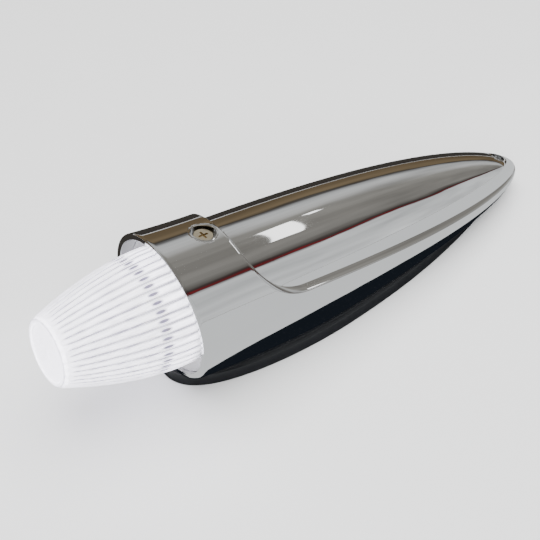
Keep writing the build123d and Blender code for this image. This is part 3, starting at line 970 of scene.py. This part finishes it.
def build_pad():
    """Closed pad with rounded edges, before its hollow and holes are cut."""
    profile = []
    turns = [pi / 2 * step / pad_round_steps for step in range(pad_round_steps + 1)]
    for turn in turns:
        proud = pad_proud_foot - pad_foot_round * (1 - sin(turn))
        profile.append((proud, pad_foot_round * (1 - cos(turn))))
    for turn in turns:
        proud = pad_proud_top + pad_top_round * (cos(turn) - 0.55)
        profile.append((proud, pad_thickness - pad_top_round * (1 - sin(turn))))

    def place(row, share):
        proud, height = profile[row]
        return pad_side(share, proud) + Vector((0, 0, height))

    mesh = bmesh.new()
    patch(mesh, len(profile) - 1, pad_columns, place)
    bmesh.ops.remove_doubles(mesh, verts=mesh.verts, dist=merge_gap)
    mirror_across(mesh, 2 * mirror_gap)
    rims = [edge for edge in mesh.edges if edge.is_boundary]
    bmesh.ops.holes_fill(mesh, edges=rims, sides=0)
    bmesh.ops.translate(mesh, verts=mesh.verts, vec=(mouth_x, 0, 0))
    return finish_mesh(mesh, "rubber_pad", "casting")


def pad_hollow():
    """Cutter for the hollow behind the pad's rim."""
    mesh = bmesh.new()

    def place(row, share):
        x = hollow_front + (hollow_back - hollow_front) * row / hollow_columns
        return Vector((mouth_x + x, (foot(x) - pad_rim) * (2 * share - 1), pad_web))

    patch(mesh, hollow_columns, 2, place)
    made = bmesh.ops.extrude_face_region(mesh, geom=mesh.faces[:])
    lifted = [item for item in made["geom"] if isinstance(item, bmesh.types.BMVert)]
    bmesh.ops.translate(mesh, verts=lifted, vec=(0, 0, pad_thickness))
    bmesh.ops.recalc_face_normals(mesh, faces=mesh.faces)
    return linked_object(mesh, "pad_cutter")


rubber_pad = build_pad()
cut(rubber_pad, pad_hollow())
for name, (x, radius) in pad_holes.items():
    cut(rubber_pad, cutter(name, radius, x, 3 * pad_thickness))
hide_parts("base_gasket")
rubber = finish("black_rubber", (0.012, 0.013, 0.015), 0.42, grain=160, speckle=0.3, spread=0.1,
                relief=0.04, fine=1400)
wear(rubber_pad, rubber)
wear(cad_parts["wire_grommet"], rubber)

# %% [markdown]
# ## Finishes of the inner pieces
# The pieces behind the lens show faintly when it is lit and fully when the lamp is pulled out,
# so each has the finish of its real material.

# %% Give each inner node its finish
inner_finishes = {
    "front_insert": ("zinc_plate", (0.62, 0.6, 0.55), 0.35, 1.0),
    "tail_sleeve": ("bright_steel", (0.6, 0.6, 0.6), 0.25, 1.0),
    "retaining_screw": ("screw_brass", (0.78, 0.68, 0.5), 0.3, 1.0),
    "retaining_washer": ("spring_steel", (0.45, 0.44, 0.42), 0.35, 1.0),
    "clamp_strap": ("plated_strap", (0.58, 0.57, 0.53), 0.35, 1.0),
    "lens_seal": ("soft_seal", (0.03, 0.03, 0.03), 0.6, 0.0),
    "back_shell": ("black_moulding", (0.02, 0.02, 0.022), 0.45, 0.0),
    "heat_sink": ("turned_aluminium", (0.7, 0.71, 0.72), 0.32, 1.0),
    "board_standoffs": ("nickel_posts", (0.66, 0.63, 0.56), 0.28, 1.0),
    "board_screws": ("zinc_screws", (0.6, 0.6, 0.58), 0.3, 1.0),
    "led_board": ("white_board", (0.8, 0.82, 0.82), 0.4, 0.0),
    "leds": ("led_phosphor", (0.95, 0.85, 0.4), 0.25, 0.0),
    "resistors": ("chip_ceramic", (0.03, 0.03, 0.03), 0.4, 0.0),
    "rectifier": ("chip_epoxy", (0.04, 0.04, 0.045), 0.5, 0.0),
    "reflector_ring": ("white_reflector", (0.9, 0.9, 0.9), 0.3, 0.0),
    "contact_pins": ("contact_brass", (0.72, 0.55, 0.28), 0.3, 1.0),
    "lamp_plug": ("plug_moulding", (0.03, 0.03, 0.032), 0.5, 0.0),
    "lead_live": ("red_insulation", (0.5, 0.02, 0.02), 0.4, 0.0),
    "lead_ground": ("black_insulation", (0.02, 0.02, 0.02), 0.4, 0.0),
    "terminal_block": ("block_moulding", (0.35, 0.36, 0.37), 0.5, 0.0),
    "terminal_screws": ("block_screws", (0.62, 0.6, 0.55), 0.3, 1.0),
}
for node, (name, tint, roughness, metallic) in inner_finishes.items():
    material = finish(name, tint, roughness, metallic, grain=420, speckle=0.12, relief=0.015)
    wear(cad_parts[node], material)
print(len(inner_finishes), "inner finishes")

# %% [markdown]
# ## Floor
# The lamp stands on a large pale table, painted and slightly uneven, whose soft shadow shows
# where the rubber touches it.

# %% Floor
floor_mesh = bmesh.new()
bmesh.ops.create_grid(floor_mesh, x_segments=1, y_segments=1, size=2.5)
floor = linked_object(floor_mesh, "floor")
table_paint = finish("table_paint", (0.9, 0.905, 0.91), 0.55, grain=30, speckle=0.01, spread=0.05,
                     relief=0.02)
wear(floor, table_paint)
print("floor is", floor.dimensions.x, "m wide")

# %% [markdown]
# ## The room
# Chrome has almost no colour of its own: it is a picture of the room. A long lamp sees the room
# as bands that run along it, so the room's colours depend only on the angle round the lamp: a
# pale near side, a thin dark and red line above it, warm grey overhead, a lighter band, then
# brown, and a dark far side. Noise makes the bands wander, as they do in a real room.

# %% Room colours
world = bpy.data.worlds.new("studio")
bpy.context.scene.world = world
world.use_nodes = True


def ramp(tree, stops):
    """Colour ramp with the given (position, colour) stops."""
    node = tree.nodes.new("ShaderNodeValToRGB")
    elements = node.color_ramp.elements
    elements[0].position, elements[0].color = stops[0][0], (*stops[0][1], 1)
    elements[1].position, elements[1].color = stops[-1][0], (*stops[-1][1], 1)
    for position, colour in stops[1:-1]:
        elements.new(position).color = (*colour, 1)
    return node


around_the_lamp = [
    (0.0, (0.86, 0.88, 0.885)), (0.02, (0.86, 0.88, 0.885)), (0.35, (0.035, 0.03, 0.03)),
    (0.45, (0.04, 0.032, 0.028)), (0.462, (0.1, 0.07, 0.045)), (0.5, (0.15, 0.11, 0.065)),
    (0.565, (0.2, 0.15, 0.09)), (0.58, (0.05, 0.045, 0.04)), (0.592, (0.3, 0.3, 0.3)),
    (0.61, (0.62, 0.63, 0.63)), (0.65, (0.6, 0.6, 0.59)), (0.69, (0.3, 0.29, 0.265)),
    (0.76, (0.235, 0.225, 0.205)), (0.83, (0.26, 0.25, 0.23)), (0.858, (0.06, 0.05, 0.045)),
    (0.863, (0.05, 0.03, 0.03)), (0.866, (0.2, 0.015, 0.018)), (0.869, (0.16, 0.012, 0.014)),
    (0.872, (0.07, 0.05, 0.05)), (0.878, (0.72, 0.74, 0.745)), (1.0, (0.86, 0.88, 0.885)),
]


def room():
    """World colours by the angle round the lamp: far floor, far wall, ceiling, near wall."""
    tree = world.node_tree
    place = tree.nodes.new("ShaderNodeTexCoord")
    parts = tree.nodes.new("ShaderNodeSeparateXYZ")
    tree.links.new(place.outputs["Generated"], parts.inputs["Vector"])
    angle = tree.nodes.new("ShaderNodeMath")
    angle.operation = "ARCTAN2"
    tree.links.new(parts.outputs["Z"], angle.inputs[0])
    tree.links.new(parts.outputs["Y"], angle.inputs[1])
    share = tree.nodes.new("ShaderNodeMapRange")
    share.inputs["From Min"].default_value = -pi
    share.inputs["From Max"].default_value = pi
    tree.links.new(angle.outputs["Value"], share.inputs["Value"])

    def unevenness(scale, detail, middle, swing):
        noise = tree.nodes.new("ShaderNodeTexNoise")
        noise.inputs["Scale"].default_value = scale
        noise.inputs["Detail"].default_value = detail
        tree.links.new(place.outputs["Generated"], noise.inputs["Vector"])
        spread = tree.nodes.new("ShaderNodeMapRange")
        spread.inputs["From Min"].default_value = 0.3
        spread.inputs["From Max"].default_value = 0.7
        spread.inputs["To Min"].default_value = middle - swing
        spread.inputs["To Max"].default_value = middle + swing
        tree.links.new(noise.outputs["Fac"], spread.inputs["Value"])
        return spread.outputs["Result"]

    wander = tree.nodes.new("ShaderNodeMath")
    tree.links.new(share.outputs["Result"], wander.inputs[0])
    tree.links.new(unevenness(7, 2, 0, 0.007), wander.inputs[1])
    colours = ramp(tree, around_the_lamp)
    tree.links.new(wander.outputs["Value"], colours.inputs["Fac"])
    tree.links.new(colours.outputs["Color"], tree.nodes["Background"].inputs["Color"])
    tree.links.new(unevenness(5, 3, 0.96, 0.2), tree.nodes["Background"].inputs["Strength"])


room()
print(len(around_the_lamp), "colours round the lamp")

# %% [markdown]
# ## Lights and cards
# Soft lights brighten the table but stay out of the reflections. A few cards that only
# reflections see stand for a window, a lamp, a pale wall and the near and far parts of the
# table. A pale dome that only the camera sees closes the view behind the table.

# %% Lights and cards
def soft_light(name, place, aim, size, energy):
    """Square soft light that the chrome doesn't mirror."""
    data = bpy.data.lights.new(name, "AREA")
    data.size = size
    data.energy = energy
    light = bpy.data.objects.new(name, data)
    light.location = place
    light.rotation_euler = (Vector(aim) - Vector(place)).to_track_quat("-Z", "Y").to_euler()
    light.visible_glossy = False
    light.visible_camera = False
    bpy.context.scene.collection.objects.link(light)


def dress_card(sheet, colour, strength):
    """Make a sheet glow evenly, for reflections only."""
    material = bpy.data.materials.new(sheet.name)
    material.use_nodes = True
    shader = material.node_tree.nodes["Principled BSDF"]
    shader.inputs["Base Color"].default_value = (0, 0, 0, 1)
    shader.inputs["Specular IOR Level"].default_value = 0
    shader.inputs["Emission Color"].default_value = (*colour, 1)
    shader.inputs["Emission Strength"].default_value = strength
    sheet.data.materials.append(material)
    for ray in ("camera", "shadow", "diffuse", "transmission", "volume_scatter"):
        setattr(sheet, "visible_" + ray, False)


def card(name, place, aim, width, height, colour, strength):
    """Glowing or dark card that only reflections see."""
    mesh = bmesh.new()
    bmesh.ops.create_grid(mesh, x_segments=1, y_segments=1, size=0.5)
    bmesh.ops.scale(mesh, vec=(width, height, 1), verts=mesh.verts)
    sheet = linked_object(mesh, name)
    sheet.location = place
    sheet.rotation_euler = (Vector(aim) - Vector(place)).to_track_quat("Z", "Y").to_euler()
    dress_card(sheet, colour, strength)


def backdrop():
    """Pale dome that only the camera sees, so that low views end in a plain wall."""
    mesh = bmesh.new()
    bmesh.ops.create_uvsphere(mesh, u_segments=48, v_segments=24, radius=4.5)
    dome = linked_object(mesh, "backdrop")
    dress_card(dome, (0.66, 0.665, 0.67), 1.0)
    dome.visible_camera = True
    dome.visible_glossy = False


backdrop()
soft_light("overhead", (0.1, 0.0, 1.3), (0, 0, 0), 1.6, 44)
soft_light("front_left", (-0.9, -0.9, 0.9), (0, 0, 0), 0.8, 14)
card("window", (0.705, 0.03, 0.875), (0, 0, 0.05), 0.4, 0.075, (1, 1, 0.98), 3.0)
card("lamp_card", (0.77, 0.26, 0.81), (0, 0, 0.05), 0.05, 0.035, (1, 1, 1), 3.0)
card("pale_wall", (-1.1, 0.5, 0.35), (0, 0, 0.05), 0.5, 0.5, (0.6, 0.62, 0.63), 1.0)
card("near_table", (0.0, -0.78, 0.0003), (0.0, -0.78, 1), 2.6, 1.7, (0.86, 0.88, 0.885), 1.0)
card("far_card", (0.1, 0.5, 0.0004), (0.1, 0.5, 1), 1.8, 0.9, (0.05, 0.045, 0.04), 1.0)
print(len(bpy.data.lights), "soft lights")

# %% [markdown]
# ## The pad's shade
# The rubber's dark edge and its shade mirror as a black band along the bottom of the chrome. A
# strip on the table round the pad, which only reflections see, stands for that shade. It is the
# pad's own outline moved further out.

# %% Shade strip
shade_width = 19 * mm
shade_start = 2.4 * mm
shade_height = 0.5 * mm
shade_columns = 80


def shade_strip():
    """Dark strip on the table beside the pad."""
    mesh = bmesh.new()

    def place(row, share):
        out = pad_side(share, shade_start + shade_width * row * sin(pi * share) ** 0.7)
        return out + Vector((mouth_x, 0, shade_height))

    patch(mesh, 1, shade_columns, place)
    mirror_across(mesh, mirror_gap)
    dress_card(linked_object(mesh, "shade_strip"), (0.01, 0.013, 0.018), 1.0)


shade_strip()
print("shade reaches", round((shade_start + shade_width) / mm, 1), "mm out from the casting")
